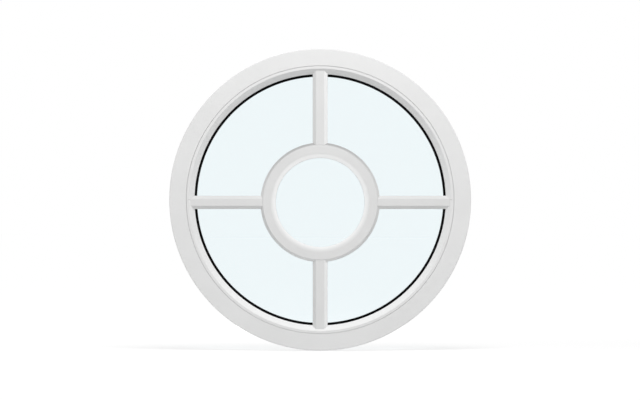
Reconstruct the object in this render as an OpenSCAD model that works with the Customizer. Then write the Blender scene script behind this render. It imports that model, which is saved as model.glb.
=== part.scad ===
// Round window: a fixed light in hollow plastic profile with a sealed glass unit
// and a ring and four glazing bars on both faces of the glass.
// The window stands in the XZ plane. Its room side looks along -Y and its axis runs through the origin.
// Sections are drawn as [radius, height], with height measured towards the room from half the frame's depth.

/* [Frame] */
// Outside diameter of the frame
frame_d = 750; // [660:5:1000]
// Depth from the outside face to the room face
frame_depth = 70; // [66:1:78]
// Width of the flat room face, from the rim to the bead
face_w = 42; // [38:1:52]
// Height of the glazing rebate, from its floor to its sight edge
rebate_h = 20.5; // [19:0.5:23]
// Outer walls of the hollow section
skin_t = 2.8; // [2:0.1:3.1]
// Webs between the chambers
web_t = 1.5; // [1:0.1:2]
// Places of the two webs along the depth
web_shares = [0.42, 0.72];
// Rounding of the outer edges
edge_r = 2; // [0.5:0.1:2.5]
// Rounding of the edges on either side of the bead joint
joint_r = 1.2; // [0.4:0.1:1.5]
// Width of the bevel that runs down to the glass
bevel_w = 13.5; // [11:0.1:14]
// Height of the bevel
bevel_h = 9.5; // [7:0.1:10.4]
// Rounding at the top of the bevel
bevel_r = 2.5; // [0.5:0.1:3]

/* [Rim channel] */
// Mouth of the channel that takes the fixing lugs
channel_mouth_w = 10; // [6:0.5:11]
// Width of the channel behind its mouth
channel_w = 14; // [12:0.5:17]
// Thickness of the lips beside the mouth
channel_lip_t = 2.4; // [1.6:0.1:3]
// Depth of the whole channel
channel_depth = 6; // [4.5:0.1:8]

/* [Drainage] */
// Width of a drain slot
drain_w = 5; // [3:0.1:5.5]
// Length of a drain slot
drain_l = 25; // [12:1:32]
// Height of a slot in the rebate floor above the lip seat
drain_rise = 1; // [0.5:0.1:1.5]
// Angle from the lowest point to a slot in the rebate floor
drain_in_angle = 8; // [5:0.5:10]
// Angle from the lowest point to a slot in the rim
drain_out_angle = 16; // [13:0.5:20]

/* [Glazing bead] */
// Step from the room face down to the top of the bead
bead_inset = 0.6; // [0.2:0.1:1.4]
// Gap between the bead and the rebate floor
bead_fit = 0.3; // [0.1:0.05:0.5]
// Gap between the ends of the two halves
bead_joint = 0.4; // [0.1:0.1:1]
// Walls of the hollow bead
bead_skin_t = 1.8; // [1.2:0.1:2]
// Distance from the seat of the bead to its clip groove
clip_set = 3; // [2:0.1:4]
// Width of the clip groove
clip_w = 4; // [3.2:0.1:4.4]
// Depth of the clip groove
clip_depth = 5; // [4:0.1:6]
// Thickness of the frame's nib over the clip hook
clip_lip_t = 2; // [1.4:0.1:2.6]
// Reach of the clip hook under the nib
clip_hook = 0.9; // [0.6:0.1:1.2]
// Gap around the clip
clip_gap = 0.3; // [0.1:0.05:0.4]

/* [Gaskets] */
// Thickness between the glass and its seat
gasket_t = 4; // [3:0.1:4.5]
// Width that shows inside the sight edge
gasket_show = 5.8; // [4.6:0.1:8]
// Width hidden behind the sight edge
gasket_hidden = 9; // [8.4:0.1:12]
// Distance from the sight edge to the middle of the foot
foot_set = 6.5; // [5.6:0.1:7]
// Width of the foot's neck
foot_neck_w = 1.6; // [1:0.1:2]
// Length of the foot's neck
foot_neck_l = 1.2; // [0.8:0.1:1.6]
// Width of the foot's head
foot_head_w = 2.6; // [2.2:0.1:3]
// Length of the foot's head
foot_head_l = 1.8; // [1:0.1:2]
// Gap around the foot in its groove
foot_gap = 0.15; // [0.05:0.05:0.25]

/* [Sealed unit] */
// Step from the room face down to the glass
glass_set = 16; // [15.4:0.1:18]
// Thickness of a pane
pane_t = 4; // [3:0.5:6]
// Space between the panes
cavity_w = 20; // [14:0.5:22]
// Gap from the edge of the glass to the rebate floor
edge_gap = 5; // [4:0.5:6]
// Ground arris on the edges of the panes
arris = 0.5; // [0.2:0.1:1]
// Depth of the edge seal behind the spacer
seal_depth = 5; // [3:0.1:6]
// Height of the spacer tube
spacer_h = 6.5; // [5:0.1:7.5]
// Wall of the spacer tube
spacer_skin_t = 0.5; // [0.3:0.05:0.8]
// Gap at the joint of a bent tube
tube_joint = 0.4; // [0.2:0.1:1]
// Length of the key that closes the spacer joint
key_l = 50; // [30:1:80]
// Gap between the spacer and what fills it
fill_gap = 0.1; // [0.05:0.05:0.3]
// Thickness of a butyl seal
butyl_t = 0.3; // [0.2:0.05:0.6]
// Width of a butyl seal
butyl_w = 4.5; // [3:0.1:4.9]
// Gap between the spacer and the edge seal
seal_gap = 0.05; // [0.02:0.01:0.2]

/* [Glazing blocks] */
// Length of a block around the glass
block_l = 80; // [50:1:110]
// Reach of a block past each face of the glass
block_reach = 1; // [0.5:0.1:2]
// Gap between a block and what it bears on
block_gap = 0.1; // [0.05:0.05:0.2]
// Width of the drain channel under a block
block_channel_w = 9; // [5:0.5:14]
// Depth of the drain channel under a block
block_channel_depth = 2; // [1:0.1:2.4]
// Angle of a setting block from the lowest point
setting_angle = 32; // [30:0.5:45]
// Angle of a location block from the highest point
location_angle = 32; // [20:0.5:60]

/* [Applied bars] */
// Drop of the ring and side bars below the middle of the frame
grille_drop = 6.4; // [0:0.1:10]
// Width of the top and bottom bars on the glass
bar_w = 37; // [30:0.5:44]
// Width of the side bars on the glass
side_bar_w = 33; // [28:0.5:44]
// Width of the bevel along each edge of a bar
bar_bevel_w = 8; // [5:0.1:9]
// Height of a bar above the glass
bar_h = 12.5; // [10:0.1:12.8]
// Height of the upright edge of a bar
bar_edge_h = 7.5; // [3:0.1:8]
// Rounding of the edges of a bar
bar_r = 1.2; // [0.3:0.1:1.5]
// Gap between a bar's edge and the glass
bar_float = 0.2; // [0.1:0.05:0.4]
// Gap around the scribed ends of a bar
scribe_gap = 0.3; // [0.1:0.05:0.5]
// Outside diameter of the ring
ring_d = 297; // [240:1:340]
// Width of the ring on the glass
ring_w = 38; // [33:0.5:44]
// Height of the ring above the glass
ring_h = 13.5; // [13:0.1:14.2]
// Width of the ring's outer bevel
ring_out_w = 6.5; // [5:0.1:9]
// Width of the ring's inner bevel
ring_in_w = 12.5; // [8:0.1:16]
// Height of the upright edge inside the ring
ring_in_edge_h = 11; // [4:0.1:12]
// Width of the adhesive tape
tape_w = 20; // [12:0.5:24]
// Thickness of the adhesive tape
tape_t = 1; // [0.6:0.1:1.5]
// Gap on either side of the tape in its recess
tape_gap = 0.3; // [0.1:0.1:0.8]
// Distance from the end of a tape to the ring and to the gasket
tape_end = 3; // [1:0.5:8]

/* [Bars between the panes] */
// Width of a bar between the panes
cavity_bar_w = 16; // [10:0.5:22]
// Wall of a bar between the panes
cavity_skin_t = 0.8; // [0.4:0.1:1.5]
// Gap around a bar between the panes
cavity_gap = 0.3; // [0.1:0.05:0.5]

/* [Hidden] */

$fn = 144;
// Reach of a cut past the face that it opens
overrun = 1;
// Share of its radius by which a rounding stands past the edges that it meets
arc_share = 0.02;

white = [0.93, 0.93, 0.92];
black = [0.06, 0.06, 0.06];
clear = [0.86, 0.95, 0.97, 0.35];
metal = [0.78, 0.79, 0.8];
grey = [0.7, 0.7, 0.7];
blue = [0.2, 0.35, 0.6];

// Radii of the frame section
rim_r = frame_d / 2;
floor_r = rim_r - face_w;
sight_r = floor_r - rebate_h;
bevel_top_r = sight_r + bevel_w;

// Heights across the frame section
room_h = frame_depth / 2;
out_h = -room_h;
room_glass_h = room_h - glass_set;
unit_t = pane_t + cavity_w + pane_t;
out_glass_h = room_glass_h - unit_t;
cavity_h = (room_glass_h + out_glass_h) / 2;
bead_seat_h = room_glass_h + gasket_t;
bead_top_h = room_h - bead_inset;
lip_seat_h = out_glass_h - gasket_t;
web_h = [for (share = web_shares) out_h + share * frame_depth];
clip_h = bead_seat_h + clip_set;

// The gasket's foot and its groove
foot_r = sight_r + foot_set;
foot_groove_r = foot_r + foot_head_w / 2 + foot_gap;
nose_r = sight_r - gasket_show;

// The sealed unit
glass_r = floor_r - edge_gap;
spacer_out_r = glass_r - seal_depth;
spacer_in_r = spacer_out_r - spacer_h;
spacer_mid_r = (spacer_out_r + spacer_in_r) / 2;
spacer_w = cavity_w - 2 * butyl_t;

// The ring
ring_out_r = ring_d / 2;
ring_in_r = ring_out_r - ring_w;
ring_mid_r = (ring_out_r + ring_in_r) / 2;
cavity_bar_h = cavity_w - 2 * cavity_gap;

frame_outline = [
    [rim_r, out_h],
    [rim_r, room_h],
    [floor_r, room_h],
    [floor_r, lip_seat_h],
    [sight_r, lip_seat_h],
    [sight_r, out_h + bevel_h],
    [bevel_top_r, out_h]
];

bead_outline = [
    [floor_r - bead_fit, bead_seat_h],
    [floor_r - bead_fit, bead_top_h],
    [bevel_top_r, bead_top_h],
    [sight_r, bead_top_h - bevel_h],
    [sight_r, bead_seat_h]
];

ring_outline = [
    [ring_in_r, bar_float],
    [ring_out_r, bar_float],
    [ring_out_r, bar_edge_h],
    [ring_out_r - ring_out_w, ring_h],
    [ring_in_r + ring_in_w, ring_h],
    [ring_in_r, ring_in_edge_h]
];

function bar_outline(w) = [
    [-w / 2, bar_float],
    [w / 2, bar_float],
    [w / 2, bar_edge_h],
    [w / 2 - bar_bevel_w, bar_h],
    [bar_bevel_w - w / 2, bar_h],
    [-w / 2, bar_edge_h]
];

function unit(v) = v / norm(v);
function arc_angle(length, r) = 180 * length / (PI * r);

// A square from one corner to the other
module span(low, high) {
    translate(low)
        square(high - low);
}

// What a rounded edge takes off the corner with this index
module round_off(outline, index, r) {
    count = len(outline);
    corner = outline[index];
    to_last = unit(outline[(index + count - 1) % count] - corner);
    to_next = unit(outline[(index + 1) % count] - corner);
    inward = unit(to_last + to_next);
    half = acos(to_last * to_next) / 2;
    middle = corner + inward * r * (1 - arc_share) / sin(half);
    difference() {
        polygon([
            corner + to_last * r / tan(half),
            middle,
            corner + to_next * r / tan(half),
            corner - inward * overrun
        ]);
        translate(middle)
            circle(r);
    }
}

// Hollow behind a bevel, drawn from the flat face inwards
module bevel_chamber(skin, out_r, depth) {
    in_r = foot_groove_r + skin;
    slant = skin * norm([bevel_w, bevel_h]) / bevel_w;
    polygon([
        [out_r, skin],
        [bevel_top_r + bevel_w * (slant - skin) / bevel_h, skin],
        [in_r, bevel_h * (bevel_top_r - in_r) / bevel_w + slant],
        [in_r, depth - skin],
        [out_r, depth - skin]
    ]);
}

// The gasket's barbed foot, or its groove where it is drawn wider
module gasket_foot(grow) {
    neck = foot_neck_w / 2 + grow;
    head = foot_head_w / 2 + grow;
    head_low = gasket_t + foot_neck_l - grow;
    head_high = gasket_t + foot_neck_l + foot_head_l + grow;
    translate([foot_set, 0]) {
        span([-neck, gasket_t / 2], [neck, head_high]);
        polygon([
            [-head, head_low],
            [head, head_low],
            [neck, head_high],
            [-neck, head_high]
        ]);
    }
}

module gasket_section() {
    nose = gasket_t / 2;
    span([nose - gasket_show, 0], [gasket_hidden, gasket_t]);
    translate([nose - gasket_show, nose])
        circle(nose);
    gasket_foot(0);
}

module at_room_glass() {
    translate([sight_r, room_glass_h])
        children();
}

module at_out_glass() {
    translate([sight_r, out_glass_h])
        mirror([0, 1])
            children();
}

module frame_chambers() {
    half_web = web_t / 2;
    in_r = floor_r + skin_t;
    out_r = rim_r - skin_t;
    span([in_r, out_h + skin_t], [out_r, web_h[0] - half_web]);
    span([in_r, web_h[0] + half_web], [rim_r - channel_depth - web_t, web_h[1] - half_web]);
    span([floor_r + clip_depth + web_t, web_h[1] + half_web], [out_r, room_h - skin_t]);
    translate([0, out_h])
        bevel_chamber(skin_t, in_r - web_t, lip_seat_h - out_h);
}

module rim_channel() {
    middle = (web_h[0] + web_h[1]) / 2;
    mouth = channel_mouth_w / 2;
    side = channel_w / 2;
    low_r = rim_r - channel_depth;
    span([low_r, middle - mouth], [rim_r + overrun, middle + mouth]);
    span([low_r, middle - side], [rim_r - channel_lip_t, middle + side]);
}

module clip_groove() {
    end_r = floor_r + clip_depth;
    span([floor_r - overrun, clip_h], [end_r, clip_h + clip_w]);
    span([floor_r + clip_lip_t, clip_h], [end_r, clip_h + clip_w + clip_hook]);
}

module clip_tongue() {
    end_r = floor_r + clip_depth - clip_gap;
    hook_r = floor_r + clip_lip_t + clip_gap;
    low = clip_h + clip_gap;
    high = clip_h + clip_w - clip_gap;
    polygon([
        [floor_r - bead_skin_t, low],
        [end_r, low],
        [end_r, high],
        [hook_r, high + clip_hook],
        [hook_r, high],
        [floor_r - bead_skin_t, high]
    ]);
}

module frame_section() {
    difference() {
        polygon(frame_outline);
        round_off(frame_outline, 0, edge_r);
        round_off(frame_outline, 1, edge_r);
        round_off(frame_outline, 2, joint_r);
        round_off(frame_outline, 5, edge_r);
        round_off(frame_outline, 6, bevel_r);
        frame_chambers();
        rim_channel();
        clip_groove();
        at_out_glass()
            gasket_foot(foot_gap);
    }
}

module bead_section() {
    difference() {
        union() {
            polygon(bead_outline);
            clip_tongue();
        }
        round_off(bead_outline, 1, joint_r);
        round_off(bead_outline, 2, bevel_r);
        round_off(bead_outline, 3, joint_r);
        translate([0, bead_top_h])
            mirror([0, 1])
                bevel_chamber(bead_skin_t, floor_r - bead_fit - bead_skin_t, bead_top_h - bead_seat_h);
        at_room_glass()
            gasket_foot(foot_gap);
    }
}

// Tube section about its own middle
module tube_section(w, h, skin) {
    difference() {
        square([w, h], center = true);
        square([w - 2 * skin, h - 2 * skin], center = true);
    }
}

module tape_recess() {
    square([tape_w + 2 * tape_gap, 2 * tape_t], center = true);
}

module bar_section(w) {
    outline = bar_outline(w);
    difference() {
        polygon(outline);
        for (index = [2 : 5])
            round_off(outline, index, bar_r);
        tape_recess();
    }
}

module ring_section() {
    difference() {
        polygon(ring_outline);
        for (index = [2 : 5])
            round_off(ring_outline, index, bar_r);
        translate([ring_mid_r, 0])
            tape_recess();
    }
}

// Turns a section's height towards the room
module upright() {
    rotate([90, 0, 0])
        children();
}

module on_grille() {
    translate([0, -grille_drop, 0])
        children();
}

// Sets a piece that is drawn up from the glass on the room face or the outside face
module on_room_face() {
    upright()
        translate([0, 0, room_glass_h])
            children();
}

module on_out_face() {
    upright()
        translate([0, 0, out_glass_h])
            mirror([0, 0, 1])
                children();
}

// Oblong drain cut, long in Y, that runs along Z
module drain_cut(depth) {
    straight = drain_l - drain_w;
    linear_extrude(depth) {
        square([drain_w, straight], center = true);
        for (side = [-1, 1])
            translate([0, side * straight / 2])
                circle(drain_w / 2);
    }
}

// Places a drain cut radially, at an angle from the lowest point
module drain(angle, r, h, depth) {
    rotate([0, 0, angle - 90])
        translate([r, 0, h])
            rotate([0, 90, 0])
                drain_cut(depth);
}

// What the gasket and the bevel take off the ends of the bars, drawn up from the glass
module frame_scribe(foot_h) {
    end_r = sight_r - scribe_gap;
    rotate_extrude()
        polygon([
            [nose_r - scribe_gap, -overrun],
            [nose_r - scribe_gap, gasket_t + scribe_gap],
            [end_r, gasket_t + scribe_gap],
            [end_r, foot_h],
            [end_r + bevel_w, foot_h + bevel_h],
            [rim_r, foot_h + bevel_h],
            [rim_r, -overrun]
        ]);
}

// What the ring takes off the inner ends of the bars
module ring_scribe() {
    end_r = ring_out_r + scribe_gap;
    rotate_extrude()
        polygon([
            [0, -overrun],
            [end_r, -overrun],
            [end_r, bar_edge_h],
            [end_r - ring_out_w, ring_h],
            [0, ring_h]
        ]);
}

// A bar from the ring to the bevel, whose foot stands this far above the glass
module bar(angle, w, foot_h) {
    difference() {
        on_grille()
            rotate([0, 0, angle])
                translate([ring_mid_r, 0, 0])
                    rotate([90, 0, 90])
                        linear_extrude(bevel_top_r + grille_drop - ring_mid_r)
                            bar_section(w);
        on_grille()
            ring_scribe();
        frame_scribe(foot_h);
    }
}

module ring() {
    on_grille()
        rotate_extrude()
            ring_section();
}

module tape(angle) {
    intersection() {
        on_grille()
            rotate([0, 0, angle])
                translate([ring_out_r + tape_end, -tape_w / 2, 0])
                    cube([rim_r, tape_w, tape_t]);
        cylinder(r = nose_r - tape_end, h = tape_t);
    }
}

module ring_tape() {
    on_grille()
        rotate_extrude()
            span([ring_mid_r - tape_w / 2, 0], [ring_mid_r + tape_w / 2, tape_t]);
}

// A bent tube with its joint at the top
module bent_tube(r, w, h, skin) {
    gap = arc_angle(tube_joint, r);
    rotate([0, 0, 90 + gap / 2])
        rotate_extrude(angle = 360 - gap)
            translate([r, 0])
                tube_section(w, h, skin);
}

module in_cavity() {
    upright()
        translate([0, 0, cavity_h])
            children();
}

module cavity_bar(angle) {
    reach = cavity_bar_h / 2 + overrun;
    in_cavity()
        intersection() {
            difference() {
                on_grille()
                    rotate([0, 0, angle])
                        translate([ring_mid_r, 0, 0])
                            rotate([90, 0, 90])
                                linear_extrude(rim_r)
                                    tube_section(cavity_bar_w, cavity_bar_h, cavity_skin_t);
                on_grille()
                    cylinder(r = ring_mid_r + cavity_bar_w / 2 + cavity_gap, h = 2 * reach, center = true);
            }
            cylinder(r = spacer_in_r - cavity_gap, h = 2 * reach, center = true);
        }
}

module pane() {
    rotate_extrude()
        polygon([
            [0, 0],
            [glass_r - arris, 0],
            [glass_r, arris],
            [glass_r, pane_t - arris],
            [glass_r - arris, pane_t],
            [0, pane_t]
        ]);
}

// A bead of half a circle, less half the joint at each end
module half_bead(start) {
    gap = arc_angle(bead_joint, sight_r);
    color(white)
        upright()
            rotate([0, 0, start + gap / 2])
                rotate_extrude(angle = 180 - gap)
                    bead_section();
}

module block(angle) {
    width = arc_angle(block_l, glass_r);
    low = out_glass_h - block_reach;
    high = room_glass_h + block_reach;
    out_r = floor_r - block_gap;
    color(blue)
        upright()
            rotate([0, 0, angle - width / 2])
                rotate_extrude(angle = width)
                    difference() {
                        span([glass_r + block_gap, low], [out_r, high]);
                        span(
                            [out_r - block_channel_depth, cavity_h - block_channel_w / 2],
                            [out_r + overrun, cavity_h + block_channel_w / 2]
                        );
                    }
}

module butyl() {
    rotate_extrude()
        span([spacer_mid_r - butyl_w / 2, 0], [spacer_mid_r + butyl_w / 2, butyl_t]);
}

module outer_frame() {
    color(white)
        upright()
            difference() {
                rotate_extrude()
                    frame_section();
                for (side = [-1, 1]) {
                    drain(
                        side * drain_in_angle,
                        floor_r - overrun,
                        lip_seat_h + drain_rise + drain_w / 2,
                        skin_t + 2 * overrun
                    );
                    drain(
                        side * drain_out_angle,
                        rim_r - skin_t - overrun,
                        (out_h + web_h[0]) / 2,
                        skin_t + 2 * overrun
                    );
                }
            }
}

module bead_upper() {
    half_bead(0);
}

module bead_lower() {
    half_bead(180);
}

module room_gasket() {
    color(black)
        upright()
            rotate_extrude()
                at_room_glass()
                    gasket_section();
}

module outside_gasket() {
    color(black)
        upright()
            rotate_extrude()
                at_out_glass()
                    gasket_section();
}

module room_pane() {
    color(clear)
        upright()
            translate([0, 0, room_glass_h - pane_t])
                pane();
}

module outside_pane() {
    color(clear)
        upright()
            translate([0, 0, out_glass_h])
                pane();
}

module edge_spacer() {
    color(metal)
        in_cavity()
            bent_tube(spacer_mid_r, spacer_h, spacer_w, spacer_skin_t);
}

// What fills the spacer tube over an arc
module spacer_fill(start, angle) {
    less = 2 * (spacer_skin_t + fill_gap);
    in_cavity()
        rotate([0, 0, start])
            rotate_extrude(angle = angle)
                translate([spacer_mid_r, 0])
                    square([spacer_h - less, spacer_w - less], center = true);
}

module spacer_key() {
    width = arc_angle(key_l, spacer_mid_r);
    color(grey)
        spacer_fill(90 - width / 2, width);
}

module desiccant() {
    width = arc_angle(key_l + 2 * fill_gap, spacer_mid_r);
    color(grey)
        spacer_fill(90 + width / 2, 360 - width);
}

module room_butyl() {
    color(black)
        upright()
            translate([0, 0, room_glass_h - pane_t - butyl_t])
                butyl();
}

module outside_butyl() {
    color(black)
        upright()
            translate([0, 0, out_glass_h + pane_t])
                butyl();
}

module edge_seal() {
    color(black)
        in_cavity()
            rotate_extrude()
                span([spacer_out_r + seal_gap, -cavity_w / 2], [glass_r - arris, cavity_w / 2]);
}

module setting_block_left() {
    block(270 - setting_angle);
}

module setting_block_right() {
    block(270 + setting_angle);
}

module location_block_left() {
    block(90 + location_angle);
}

module location_block_right() {
    block(90 - location_angle);
}

module cavity_ring() {
    color(white)
        in_cavity()
            on_grille()
                bent_tube(ring_mid_r, cavity_bar_w, cavity_bar_h, cavity_skin_t);
}

module cavity_bar_top() {
    color(white)
        cavity_bar(90);
}

module cavity_bar_bottom() {
    color(white)
        cavity_bar(270);
}

module cavity_bar_left() {
    color(white)
        cavity_bar(180);
}

module cavity_bar_right() {
    color(white)
        cavity_bar(0);
}

module room_bar(angle, w) {
    color(white)
        on_room_face()
            bar(angle, w, bead_top_h - bevel_h - room_glass_h);
}

module outside_bar(angle, w) {
    color(white)
        on_out_face()
            bar(angle, w, out_glass_h - out_h - bevel_h);
}

module room_tape(angle) {
    color(grey)
        on_room_face()
            tape(angle);
}

module outside_tape(angle) {
    color(grey)
        on_out_face()
            tape(angle);
}

module room_ring() {
    color(white)
        on_room_face()
            ring();
}

module outside_ring() {
    color(white)
        on_out_face()
            ring();
}

module room_tape_ring() {
    color(grey)
        on_room_face()
            ring_tape();
}

module outside_tape_ring() {
    color(grey)
        on_out_face()
            ring_tape();
}

module room_bar_top() {
    room_bar(90, bar_w);
}

module room_bar_bottom() {
    room_bar(270, bar_w);
}

module room_bar_left() {
    room_bar(180, side_bar_w);
}

module room_bar_right() {
    room_bar(0, side_bar_w);
}

module room_tape_top() {
    room_tape(90);
}

module room_tape_bottom() {
    room_tape(270);
}

module room_tape_left() {
    room_tape(180);
}

module room_tape_right() {
    room_tape(0);
}

module outside_bar_top() {
    outside_bar(90, bar_w);
}

module outside_bar_bottom() {
    outside_bar(270, bar_w);
}

module outside_bar_left() {
    outside_bar(180, side_bar_w);
}

module outside_bar_right() {
    outside_bar(0, side_bar_w);
}

module outside_tape_top() {
    outside_tape(90);
}

module outside_tape_bottom() {
    outside_tape(270);
}

module outside_tape_left() {
    outside_tape(180);
}

module outside_tape_right() {
    outside_tape(0);
}

outer_frame();
bead_upper();
bead_lower();
room_gasket();
outside_gasket();
room_pane();
outside_pane();
edge_spacer();
spacer_key();
desiccant();
room_butyl();
outside_butyl();
edge_seal();
setting_block_left();
setting_block_right();
location_block_left();
location_block_right();
cavity_ring();
cavity_bar_top();
cavity_bar_bottom();
cavity_bar_left();
cavity_bar_right();
room_ring();
room_bar_top();
room_bar_bottom();
room_bar_left();
room_bar_right();
room_tape_ring();
room_tape_top();
room_tape_bottom();
room_tape_left();
room_tape_right();
outside_ring();
outside_bar_top();
outside_bar_bottom();
outside_bar_left();
outside_bar_right();
outside_tape_ring();
outside_tape_top();
outside_tape_bottom();
outside_tape_left();
outside_tape_right();
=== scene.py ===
import math

import bpy
import numpy as np
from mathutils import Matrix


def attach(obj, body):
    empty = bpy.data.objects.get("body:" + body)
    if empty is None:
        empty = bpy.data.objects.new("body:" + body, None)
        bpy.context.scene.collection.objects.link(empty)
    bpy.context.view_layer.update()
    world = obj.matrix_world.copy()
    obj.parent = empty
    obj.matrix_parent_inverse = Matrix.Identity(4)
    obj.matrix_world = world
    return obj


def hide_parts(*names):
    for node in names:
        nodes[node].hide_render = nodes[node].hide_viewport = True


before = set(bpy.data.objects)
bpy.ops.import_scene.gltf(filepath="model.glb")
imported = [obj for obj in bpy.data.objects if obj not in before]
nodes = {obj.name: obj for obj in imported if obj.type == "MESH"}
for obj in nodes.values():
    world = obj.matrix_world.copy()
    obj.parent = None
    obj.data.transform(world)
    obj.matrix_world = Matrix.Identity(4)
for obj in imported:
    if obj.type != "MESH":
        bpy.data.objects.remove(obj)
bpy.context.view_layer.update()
print("frame loaded:", len(nodes), "nodes")


# one output of a node; plain maths on wires adds Math nodes to the same tree
class Wire:
    def __init__(self, tree, socket=None):
        self.tree = tree
        self.socket = socket

    # a node of this kind: settings first, then a value or a link for each input; gives one of its outputs
    def node(self, kind, settings=None, inputs=None, out=0):
        made = self.tree.nodes.new("ShaderNode" + kind)
        for name, value in (settings or {}).items():
            setattr(made, name, value)
        for name, value in (inputs or {}).items():
            if isinstance(value, Wire):
                self.tree.links.new(value.socket, made.inputs[name])
            else:
                made.inputs[name].default_value = value
        return Wire(self.tree, made.outputs[out] if made.outputs else None)

    # another output of the same node
    def also(self, out):
        return Wire(self.tree, self.socket.node.outputs[out])

    # one Math node of this operation on numbers or wires
    def maths(self, operation, *values):
        return self.node("Math", {"operation": operation}, dict(enumerate(values)))

    def __add__(self, value):
        return self.maths("ADD", self, value)

    def __sub__(self, value):
        return self.maths("SUBTRACT", self, value)

    def __rsub__(self, value):
        return self.maths("SUBTRACT", value, self)

    def __mul__(self, value):
        return self.maths("MULTIPLY", self, value)

    def __pow__(self, value):
        return self.maths("POWER", self, value)

    def __abs__(self):
        return self.maths("ABSOLUTE", self)

    __radd__ = __add__
    __rmul__ = __mul__

    # 0 below the first value, 1 above the second and a smooth step between
    def rise(self, low, high):
        inputs = {"Value": self, "From Min": low, "From Max": high}
        return self.node("MapRange", {"interpolation_type": "SMOOTHSTEP"}, inputs)

    # 1 below the first value, 0 above the second and a smooth step between
    def fall(self, low, high):
        return 1 - self.rise(low, high)

    # cloudy noise of about this grain in metres, 0 to 1
    def noise(self, grain, detail=2.0):
        return self.node("TexNoise", None, {"Vector": self, "Scale": 1 / grain, "Detail": detail})

    # the first colour where the share is 0 and the second where it is 1; either may be a wire
    def mixed(self, first, second):
        first, second = (c if isinstance(c, Wire) else (*c, 1) for c in (first, second))
        settings = {"data_type": "RGBA", "clamp_factor": True}
        return self.node("Mix", settings, {0: self, 6: first, 7: second}, out=2)  # the colour sockets

    # tilts the normal by a height, times a depth in metres
    def bump(self, depth, strength):
        inputs = {"Height": self, "Distance": depth, "Strength": strength}
        return self.node("Bump", None, inputs, out="Normal")


# an empty material and a wire to start its nodes from
def newFinish(name):
    made = bpy.data.materials.new(name)
    made.use_nodes = True
    made.node_tree.nodes.clear()
    return made, Wire(made.node_tree)


# one Principled shader to the output
def plainFinish(start, inputs):
    shader = start.node("BsdfPrincipled", None, inputs)
    start.node("OutputMaterial", None, {"Surface": shader})


# the point on the piece, in metres
def pointOn(start):
    return start.node("TexCoord", out="Object")


# the three coordinates of a point or a direction
def partsOf(vector):
    x = vector.node("SeparateXYZ", None, {0: vector}, out="X")
    return x, x.also("Y"), x.also("Z")


# distance from an axis along Y: the root of the squares of x and of the height over the axis
def awayFrom(x, z, axisZ=0.0):
    return (x * x + (z - axisZ) ** 2) ** 0.5


# a colour times one share
def shaded(colour, share):
    return tuple(part * share for part in colour)


grilleZ = -0.0064  # the ring and side bars sit this much below the middle of the frame

white = {
    "frame": (0.82, 0.82, 0.817),
    "grille": (0.77, 0.77, 0.767),
    "ior": 1.52,
    "mottle": 0.982,         # the clouds in the plastic are darker by this share
    "mottleGrain": 0.09,
    "mottleFrom": 0.35,
    "mottleTo": 0.65,
    "roughness": 0.30,
    "roughnessSwing": 0.08,
    "drawGrain": 0.0016,     # width of the fine lines that the die leaves along the profile
    "drawDetail": 3.0,
    "drawDepth": 0.00002,
    "peelGrain": 0.0011,
    "peelDepth": 0.00001,
    "bump": 0.6,
}


# satin white plastic: lines of the die run along the profile, so their noise depends on the place across it;
# each tone is painted light or painted shade, laid over by its share, a function of the place across and of
# how far the surface looks up
def whiteProfile(name, base, across, tones):
    made, start = newFinish(name)
    point = pointOn(start)
    x, y, z = partsOf(point)
    side = across(x, z)
    up = partsOf(start.node("NewGeometry", out="Normal"))[2]
    section = start.node("CombineXYZ", None, {"X": side, "Y": y})
    lines = section.noise(white["drawGrain"], white["drawDetail"])
    mottle = point.noise(white["mottleGrain"]).rise(white["mottleFrom"], white["mottleTo"])
    colour = mottle.mixed(base, shaded(base, white["mottle"]))
    for tone, share in tones:
        colour = share(side, up).mixed(colour, tone)
    height = lines * white["drawDepth"] + point.noise(white["peelGrain"]) * white["peelDepth"]
    plainFinish(start, {
        "Base Color": colour,
        "Roughness": (lines - 0.5) * white["roughnessSwing"] + white["roughness"],
        "Normal": height.bump(1.0, white["bump"]),
        "IOR": white["ior"],
    })
    return made


# painted shade: a thin darker band about the radius of the joint between frame and bead
jointShade = {"colour": shaded(white["frame"], 0.9), "radius": 0.333, "from": 0.00054, "to": 0.0018}
jointShadeTone = (
    jointShade["colour"],
    lambda away, up: abs(away - jointShade["radius"]).fall(jointShade["from"], jointShade["to"]),
)

# painted shade: the rim is darker where it looks up
rimShade = {"colour": shaded(white["frame"], 0.87), "from": 0.2, "to": 0.75}
rimShadeTone = (rimShade["colour"], lambda away, up: up.rise(rimShade["from"], rimShade["to"]))

# painted light: the bead's bevel is paler where it looks up, which is on its lower half
beadLight = {"colour": shaded(white["frame"], 1.1), "from": 0.1, "to": 0.5}
beadLightTone = (beadLight["colour"], lambda away, up: up.rise(beadLight["from"], beadLight["to"]))

# painted shade: the bars are darker where they look up
barShade = {"colour": shaded(white["grille"], 0.93), "from": 0.1, "to": 0.75}
barShadeTone = (barShade["colour"], lambda side, up: up.rise(barShade["from"], barShade["to"]))

# painted light and shade: the right bevel of the upright bars is painted paler than the rest, and the left
# one darker
barBevelLightShade = {
    "right": shaded(white["grille"], 1.2),
    "left": shaded(white["grille"], 0.94),
    "from": 0.0095,
    "to": 0.0112,
}
bevelLightShadeTones = (
    (barBevelLightShade["right"], lambda side, up: side.rise(barBevelLightShade["from"], barBevelLightShade["to"])),
    (barBevelLightShade["left"], lambda side, up: side.fall(-barBevelLightShade["to"], -barBevelLightShade["from"])),
)
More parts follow.
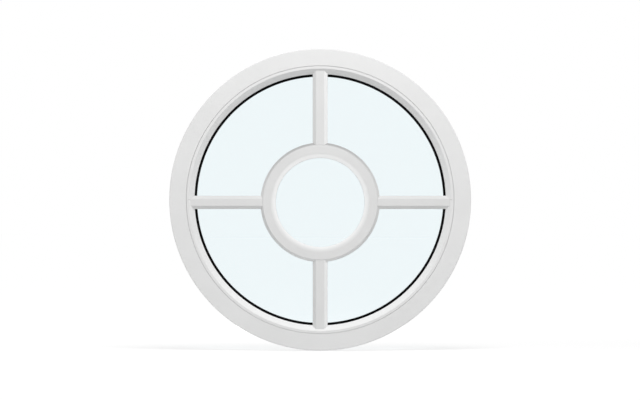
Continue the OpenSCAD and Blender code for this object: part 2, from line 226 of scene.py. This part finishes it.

# painted shade and light on the ring: its outer bevel is painted darker where it looks up and a little paler
# where it looks down;
# its inner bevel is painted paler towards the bore, and sooner where it looks down
ringEdge = {"from": 0.14, "to": 0.145}
ringTopShade = {"colour": shaded(white["grille"], 0.52), "from": 0.0, "to": 0.75}
ringUnderLight = {"colour": shaded(white["grille"], 1.12), "from": -0.5, "to": -0.05}
ringBoreLight = {"colour": (0.945, 0.945, 0.942), "from": 0.111, "to": 0.1225}
ringBrowLight = {"colour": ringBoreLight["colour"], "from": 0.117, "to": 0.1245, "level": 0.2}


# 1 on the ring's outer bevel, by the distance from its axis
def onRingEdge(away):
    return away.rise(ringEdge["from"], ringEdge["to"])


# 1 where the surface looks down, 0 where it looks up
def lookingDown(up):
    return up.fall(-ringBrowLight["level"], ringBrowLight["level"])


ringLightShadeTones = (
    (ringTopShade["colour"], lambda away, up: onRingEdge(away) * up.rise(ringTopShade["from"], ringTopShade["to"])),
    (ringUnderLight["colour"], lambda away, up: onRingEdge(away) * up.fall(ringUnderLight["from"], ringUnderLight["to"])),
    (ringBoreLight["colour"], lambda away, up: away.fall(ringBoreLight["from"], ringBoreLight["to"])),
    (ringBrowLight["colour"], lambda away, up: away.fall(ringBrowLight["from"], ringBrowLight["to"]) * lookingDown(up)),
)

rubber = {
    "colour": (0.0025, 0.0025, 0.0027),
    "bloom": (0.006, 0.006, 0.0064),
    "bloomGrain": 0.03,
    "bloomDetail": 4.0,
    "bloomFrom": 0.4,
    "bloomTo": 0.75,
    "roughness": 0.55,
    "roughnessSwing": 0.15,
    "shine": 0.03,
    "lineGrain": 0.0007,
    "lineDepth": 0.00006,
    "bump": 0.5,
}


# matt black rubber: a faint grey bloom in clouds and fine lines along the extrusion
def blackRubber(name):
    made, start = newFinish(name)
    point = pointOn(start)
    x, y, z = partsOf(point)
    section = start.node("CombineXYZ", None, {"X": awayFrom(x, z), "Y": y})
    lines = section.noise(rubber["lineGrain"])
    clouds = point.noise(rubber["bloomGrain"], rubber["bloomDetail"])
    bloom = clouds.rise(rubber["bloomFrom"], rubber["bloomTo"])
    plainFinish(start, {
        "Base Color": bloom.mixed(rubber["colour"], rubber["bloom"]),
        "Roughness": lines * rubber["roughnessSwing"] + rubber["roughness"],
        "Specular IOR Level": rubber["shine"],
        "Normal": lines.bump(rubber["lineDepth"], rubber["bump"]),
    })
    return made


glass = {
    "tint": (0.925, 0.964, 0.974),
    "edge": (0.80, 0.93, 0.91),
    "ior": 1.52,
    "edgeFrom": 0.319,
    "edgeTo": 0.328,
}


# clear float glass: greener towards its ground edge; lamps and soft light pass it as through an open window
def floatGlass(name):
    made, start = newFinish(name)
    x, _, z = partsOf(pointOn(start))
    edge = awayFrom(x, z).rise(glass["edgeFrom"], glass["edgeTo"])
    pane = start.node("BsdfPrincipled", None, {
        "Base Color": edge.mixed(glass["tint"], glass["edge"]),
        "Roughness": 0.0,
        "IOR": glass["ior"],
        "Transmission Weight": 1.0,
    })
    clear = start.node("BsdfTransparent", None, {"Color": (*glass["tint"], 1)})
    shadow = start.node("LightPath", out="Is Shadow Ray")
    passing = shadow.maths("MAXIMUM", shadow, shadow.also("Is Diffuse Ray"))
    both = start.node("MixShader", None, {0: passing, 1: pane, 2: clear})
    start.node("OutputMaterial", None, {"Surface": both})
    return made


spacerTube = {
    "colour": (0.62, 0.63, 0.64),
    "slit": (0.05, 0.05, 0.05),
    "count": 420,
    "dashFrom": 0.2,         # half a slit's length, as a share of the step from slit to slit
    "dashTo": 0.24,
    "middleY": -0.005,       # the middle of the tube, and how far the rows lie from it
    "rows": 0.004,
    "rowFrom": 0.000175,
    "rowTo": 0.00025,
    "faceFrom": 0.3167,      # the slits are only on the face towards the opening
    "faceTo": 0.3169,
    "slitDepth": 0.0003,
    "brushGrain": 0.0004,
    "brushDetail": 4.0,
    "brushDepth": 0.00001,
    "roughness": 0.3,
    "roughnessSwing": 0.2,
    "bump": 0.7,
}


# mill-finish tube: brushed along its length, with two rows of short slits on the face towards the opening;
# a slit is where the angle, counted in steps, is near the middle of a step and the place across near a row
def millTube(name):
    t = spacerTube
    made, start = newFinish(name)
    x, y, z = partsOf(pointOn(start))
    away = awayFrom(x, z)
    turn = start.maths("ARCTAN2", z, x) * (t["count"] / math.tau)
    dash = abs(turn.maths("FRACT", turn) - 0.5).fall(t["dashFrom"], t["dashTo"])
    row = abs(abs(y - t["middleY"]) - t["rows"]).fall(t["rowFrom"], t["rowTo"])
    slit = dash * row * away.fall(t["faceFrom"], t["faceTo"])
    section = start.node("CombineXYZ", None, {"X": away, "Y": y})
    lines = section.noise(t["brushGrain"], t["brushDetail"])
    plainFinish(start, {
        "Base Color": slit.mixed(t["colour"], t["slit"]),
        "Metallic": 1 - slit,
        "Roughness": lines * t["roughnessSwing"] + t["roughness"],
        "Normal": (lines * t["brushDepth"] - slit * t["slitDepth"]).bump(1.0, t["bump"]),
    })
    return made


coating = {
    "colour": (0.80, 0.80, 0.80),
    "cloud": (0.785, 0.787, 0.787),
    "cloudGrain": 0.06,
    "cloudFrom": 0.35,
    "cloudTo": 0.65,
    "peelGrain": 0.0018,
    "peelDetail": 3.0,
    "peelDepth": 0.00004,
    "roughness": 0.36,
    "roughnessSwing": 0.12,
    "bump": 0.6,
}


# white coated metal: faint clouds and a fine orange-peel skin
def coatedMetal(name):
    made, start = newFinish(name)
    point = pointOn(start)
    cloud = point.noise(coating["cloudGrain"]).rise(coating["cloudFrom"], coating["cloudTo"])
    peel = point.noise(coating["peelGrain"], coating["peelDetail"])
    plainFinish(start, {
        "Base Color": cloud.mixed(coating["colour"], coating["cloud"]),
        "Roughness": peel * coating["roughnessSwing"] + coating["roughness"],
        "Normal": peel.bump(coating["peelDepth"], coating["bump"]),
    })
    return made


cloudy = {"detail": 3.0, "from": 0.3, "to": 0.7, "roughnessSwing": 0.15, "bump": 0.7}
stuffs = {
    "keyGrey": {
        "colour": (0.45, 0.45, 0.46), "cloud": (0.41, 0.41, 0.42), "cloudGrain": 0.01,
        "skinGrain": 0.0008, "skinDepth": 0.00004, "roughness": 0.5,
    },
    "sealantDark": {
        "colour": (0.045, 0.045, 0.05), "cloud": (0.065, 0.065, 0.07), "cloudGrain": 0.006,
        "skinGrain": 0.002, "skinDepth": 0.0002, "roughness": 0.55,
    },
    "blockBlue": {
        "colour": (0.1, 0.22, 0.5), "cloud": (0.085, 0.19, 0.45), "cloudGrain": 0.012,
        "skinGrain": 0.0009, "skinDepth": 0.00005, "roughness": 0.45,
    },
    "tapeFoam": {
        "colour": (0.74, 0.74, 0.74), "cloud": (0.66, 0.66, 0.66), "cloudGrain": 0.0012,
        "skinGrain": 0.0006, "skinDepth": 0.0002, "roughness": 0.75,
    },
}


# a moulded or poured stuff: two colours in clouds of one grain, and a fine skin of another
def cloudedStuff(name, stuff):
    made, start = newFinish(name)
    point = pointOn(start)
    cloud = point.noise(stuff["cloudGrain"], cloudy["detail"]).rise(cloudy["from"], cloudy["to"])
    skin = point.noise(stuff["skinGrain"], cloudy["detail"])
    plainFinish(start, {
        "Base Color": cloud.mixed(stuff["colour"], stuff["cloud"]),
        "Roughness": skin * cloudy["roughnessSwing"] + stuff["roughness"],
        "Normal": skin.bump(stuff["skinDepth"], cloudy["bump"]),
    })
    return made


fill = {
    "crown": (0.72, 0.66, 0.56),
    # the colour in the gaps between beads is painted shade
    "gap": (0.42, 0.38, 0.31),
    "perMetre": 700.0,
    "from": 0.1,
    "to": 0.7,
    "height": 0.0006,
    "roughness": 0.6,
    "roughnessSwing": 0.2,
    "bump": 0.8,
}


# packed round beads: distance to the nearest cell centre gives their height, and a colour that darkens from
# each crown into the gaps: painted shade between the beads
def beadFill(name):
    made, start = newFinish(name)
    point = pointOn(start)
    far = point.node("TexVoronoi", None, {"Vector": point, "Scale": fill["perMetre"]}, out="Distance")
    plainFinish(start, {
        "Base Color": far.rise(fill["from"], fill["to"]).mixed(fill["crown"], fill["gap"]),
        "Roughness": far * fill["roughnessSwing"] + fill["roughness"],
        "Normal": (1 - far).bump(fill["height"], fill["bump"]),
    })
    return made


# each white profile: its base colour, the place across it and its tones of painted light and shade
profiles = {
    "frameWhite": (white["frame"], awayFrom, (jointShadeTone, rimShadeTone)),
    "beadWhite": (white["frame"], awayFrom, (beadLightTone, jointShadeTone)),
    "ringWhite": (white["grille"], lambda x, z: awayFrom(x, z, grilleZ), ringLightShadeTones),
    "uprightWhite": (white["grille"], lambda x, z: x, (barShadeTone, *bevelLightShadeTones)),
    "levelWhite": (white["grille"], lambda x, z: z, (barShadeTone,)),
}
finishes = {name: whiteProfile(name, *profile) for name, profile in profiles.items()}
finishes.update({name: cloudedStuff(name, stuff) for name, stuff in stuffs.items()})
makers = {
    "gasketBlack": blackRubber,
    "paneGlass": floatGlass,
    "spacerMetal": millTube,
    "cavityWhite": coatedMetal,
    "beads": beadFill,
}
finishes.update({name: make(name) for name, make in makers.items()})
print("finishes made:", len(finishes))

# which nodes wear which finish
worn = {
    "frameWhite": ["outer_frame"],
    "beadWhite": ["bead_upper", "bead_lower"],
    "ringWhite": ["room_ring", "outside_ring"],
    "uprightWhite": ["room_bar_top", "room_bar_bottom", "outside_bar_top", "outside_bar_bottom"],
    "levelWhite": ["room_bar_left", "room_bar_right", "outside_bar_left", "outside_bar_right"],
    "gasketBlack": ["room_gasket", "outside_gasket"],
    "paneGlass": ["room_pane", "outside_pane"],
    "spacerMetal": ["edge_spacer"],
    "cavityWhite": ["cavity_ring"] + ["cavity_bar_" + end for end in ("top", "bottom", "left", "right")],
    "keyGrey": ["spacer_key"],
    "beads": ["desiccant"],
    "sealantDark": ["room_butyl", "outside_butyl", "edge_seal"],
    "blockBlue": [kind + "_block_" + end for kind in ("setting", "location") for end in ("left", "right")],
    "tapeFoam": [face + "_tape_" + part for face in ("room", "outside")
                 for part in ("ring", "top", "bottom", "left", "right")],
}
for finish, wearers in worn.items():
    for wearer in wearers:
        for held in nodes[wearer].material_slots:
            held.material = finishes[finish]
print("nodes dressed:", sum(map(len, worn.values())))

sharpAngle = math.radians(40)


# a closed grid of points, rows by columns, that joins its own ends both ways: one quad for each cell;
# the quads are turned over where the volume that they enclose comes out below zero
def closedGrid(name, points, finish):
    rows, columns = points.shape[:2]
    corner = np.arange(rows * columns).reshape(rows, columns)
    nextRow = np.roll(corner, -1, axis=0)
    cell = [corner, nextRow, np.roll(nextRow, -1, axis=1), np.roll(corner, -1, axis=1)]
    quads = np.stack(cell, axis=-1).reshape(-1, 4)
    flat = points.reshape(-1, 3)
    a, b, c, d = (flat[quads[:, k]] for k in range(4))
    volume = (a * (np.cross(b, c) + np.cross(c, d))).sum()
    if volume < 0:
        quads = quads[:, ::-1]
    mesh = bpy.data.meshes.new(name)
    mesh.vertices.add(len(flat))
    mesh.vertices.foreach_set("co", flat.astype(np.float32).ravel())
    mesh.loops.add(quads.size)
    mesh.loops.foreach_set("vertex_index", quads.astype(np.int32).ravel())
    mesh.polygons.add(len(quads))
    mesh.polygons.foreach_set("loop_start", np.arange(0, quads.size, 4, dtype=np.int32))
    mesh.polygons.foreach_set("use_smooth", np.ones(len(quads), dtype=bool))
    mesh.update(calc_edges=True)
    mesh.validate()
    mesh.set_sharp_from_angle(angle=sharpAngle)
    mesh.materials.append(finish)
    piece = bpy.data.objects.new(name, mesh)
    bpy.context.scene.collection.objects.link(piece)
    return piece


# a section of radius and height carried round the window's axis; height runs towards the room, along -Y
def carriedRound(name, section, steps, finish):
    turn = np.linspace(0, math.tau, steps, endpoint=False)[:, None]
    radius, height = section.T[:, None, :]
    points = np.stack([radius * np.cos(turn), -height + 0 * turn, radius * np.sin(turn)], axis=-1)
    return closedGrid(name, points, finish)


# sizes across the section run out from the bead's sight edge, and heights up from the glass
gasket = {
    "sightR": 0.3125,
    "roomFace": 0.019,       # heights of the two faces of the glass
    "outsideFace": -0.009,
    "show": 0.0058,          # the lip shows this far past the sight edge and runs on this far under the bead
    "hidden": 0.009,
    "thick": 0.004,
    "footSet": 0.0065,
    "neckHalf": 0.0008,
    "neckTop": 0.0052,
    "headHalf": 0.0013,
    "headTop": 0.007,
    "ribs": 4,
    "ribDepth": 0.0003,
    "ribFade": 0.001,
    "grooveAt": -0.0022,
    "grooveHalf": 0.00045,
    "grooveDepth": 0.0003,
    "underPoints": 41,
    "nosePoints": 17,
    "overPoints": 25,
    "steps": 360,
}


# gasket section: waves for the ribs under it, half a circle for the nose, a bell-shaped dip for the groove
# on the lip, and a barbed foot
def gasketSection():
    g = gasket
    nose = g["thick"] / 2
    middle = nose - g["show"]
    under = np.linspace(g["hidden"], middle, g["underPoints"])
    swell = np.clip((under - middle) / g["ribFade"], 0, 1)
    fade = np.clip((g["hidden"] - under) / g["ribFade"], 0, 1)
    waves = 0.5 - 0.5 * np.cos((under - middle) / (g["hidden"] - middle) * math.tau * g["ribs"])
    bottom = np.stack([under, g["ribDepth"] * waves * swell * fade], axis=-1)
    arc = np.linspace(-0.5 * math.pi, -1.5 * math.pi, g["nosePoints"])[1:-1]
    front = np.stack([middle + nose * np.cos(arc), nose + nose * np.sin(arc)], axis=-1)
    over = np.linspace(middle, g["footSet"] - g["neckHalf"], g["overPoints"])
    dip = np.exp(-((over - g["grooveAt"]) / g["grooveHalf"]) ** 2)
    top = np.stack([over, g["thick"] - g["grooveDepth"] * dip], axis=-1)
    foot, neck, head = g["footSet"], g["neckHalf"], g["headHalf"]
    barb = np.array([
        [foot - neck, g["neckTop"]],
        [foot - head, g["neckTop"]],
        [foot - neck, g["headTop"]],
        [foot + neck, g["headTop"]],
        [foot + head, g["neckTop"]],
        [foot + neck, g["neckTop"]],
        [foot + neck, g["thick"]],
        [g["hidden"], g["thick"]],
    ])
    return np.concatenate([bottom, front, top, barb])


# the two gaskets: the room one stands up from the room face of the glass, the outside one down from the other
for face, sense in (("room", 1), ("outside", -1)):
    section = gasketSection() * [1, sense] + [gasket["sightR"], gasket[face + "Face"]]
    made = carriedRound(face + "GasketRubber", section, gasket["steps"], finishes["gasketBlack"])
    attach(made, "root")
    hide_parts(face + "_gasket")
print("gaskets made")


# rays that should see the plain white of the studio: straight from the camera, mirrored, or through glass
def seenPlain(start):
    camera = start.node("LightPath", out="Is Camera Ray")
    mirrored = camera.maths("MAXIMUM", camera, camera.also("Is Glossy Ray"))
    return camera.maths("MAXIMUM", mirrored, camera.also("Is Transmission Ray"))


floor = {
    "z": -0.375,
    "reach": 40.0,
    "colour": (0.8, 0.8, 0.8),
    "seenColour": (0.3, 0.3, 0.3),
    "nearGlow": (0.72, 0.72, 0.72),
    "farGlow": (0.885, 0.885, 0.885),
    "nearTo": 0.6,           # the glow grows between these distances from the window
    "farFrom": 3.2,
}


# pale floor: for rays that should see white it glows, more where the lamps don't reach, and keeps the shadow;
# the share of the far glow is a smooth step in the distance from the window
def makeFloor():
    made, start = newFinish("floorPale")
    paint = start.node("BsdfDiffuse", None, {"Color": (*floor["colour"], 1)})
    seen = start.node("BsdfDiffuse", None, {"Color": (*floor["seenColour"], 1)})
    x, y, _ = partsOf(pointOn(start))
    far = ((x * x + y * y) ** 0.5).rise(floor["nearTo"], floor["farFrom"])
    glow = start.node("Emission", None, {"Color": far.mixed(floor["nearGlow"], floor["farGlow"])})
    lit = start.node("AddShader", None, {0: seen, 1: glow})
    both = start.node("MixShader", None, {0: seenPlain(start), 1: paint, 2: lit})
    start.node("OutputMaterial", None, {"Surface": both})
    corners = np.array([[-1, -1, 0], [1, -1, 0], [1, 1, 0], [-1, 1, 0]]) * floor["reach"]
    corners[:, 2] = floor["z"]
    mesh = bpy.data.meshes.new("studioFloor")
    mesh.from_pydata(corners, [], [(0, 1, 2, 3)])
    mesh.materials.append(made)
    piece = bpy.data.objects.new("studioFloor", mesh)
    bpy.context.scene.collection.objects.link(piece)


sky = {"soft": 0.385}


# even soft light from all round, and plain white for rays that should see it
def makeSky():
    world = bpy.data.worlds.new("studioSky")
    bpy.context.scene.world = world
    world.use_nodes = True
    world.node_tree.nodes.clear()
    start = Wire(world.node_tree)
    strength = seenPlain(start) * (1 - sky["soft"]) + sky["soft"]
    glow = start.node("Background", None, {"Color": (1, 1, 1, 1), "Strength": strength})
    start.node("OutputWorld", None, {"Surface": glow})


lamps = {
    "keyLamp": {"place": (0.16, -1.38, 2.24), "size": 1.0, "power": 51.3},
    "fillLamp": {"place": (-0.7, 2.3, 0.6), "size": 1.6, "power": 26.0},
}


# large soft lamps that look at the window: one high in front, a weaker one behind
def makeLamps():
    for name, lamp in lamps.items():
        light = bpy.data.lights.new(name, "AREA")
        light.shape = "SQUARE"
        light.size = lamp["size"]
        light.energy = lamp["power"]
        holder = bpy.data.objects.new(name, light)
        holder.location = lamp["place"]
        holder.rotation_mode = "QUATERNION"
        holder.rotation_quaternion = (-holder.location).to_track_quat("-Z", "Y")
        holder.visible_camera = False
        holder.visible_glossy = False
        holder.visible_transmission = False
        bpy.context.scene.collection.objects.link(holder)


viewer = {"lens": 300.0, "place": (-0.0004, -13.29, -0.0005), "reach": 200.0}


# a long lens straight in front of the room side
def makeCamera():
    lens = bpy.data.cameras.new("viewer")
    lens.lens = viewer["lens"]
    lens.clip_end = viewer["reach"]
    holder = bpy.data.objects.new("viewer", lens)
    holder.location = viewer["place"]
    holder.rotation_euler = (math.radians(90), 0, 0)
    bpy.context.scene.collection.objects.link(holder)
    bpy.context.scene.camera = holder


makeFloor()
makeSky()
makeLamps()
makeCamera()
bpy.context.scene.view_settings.view_transform = "Standard"
print("studio set")
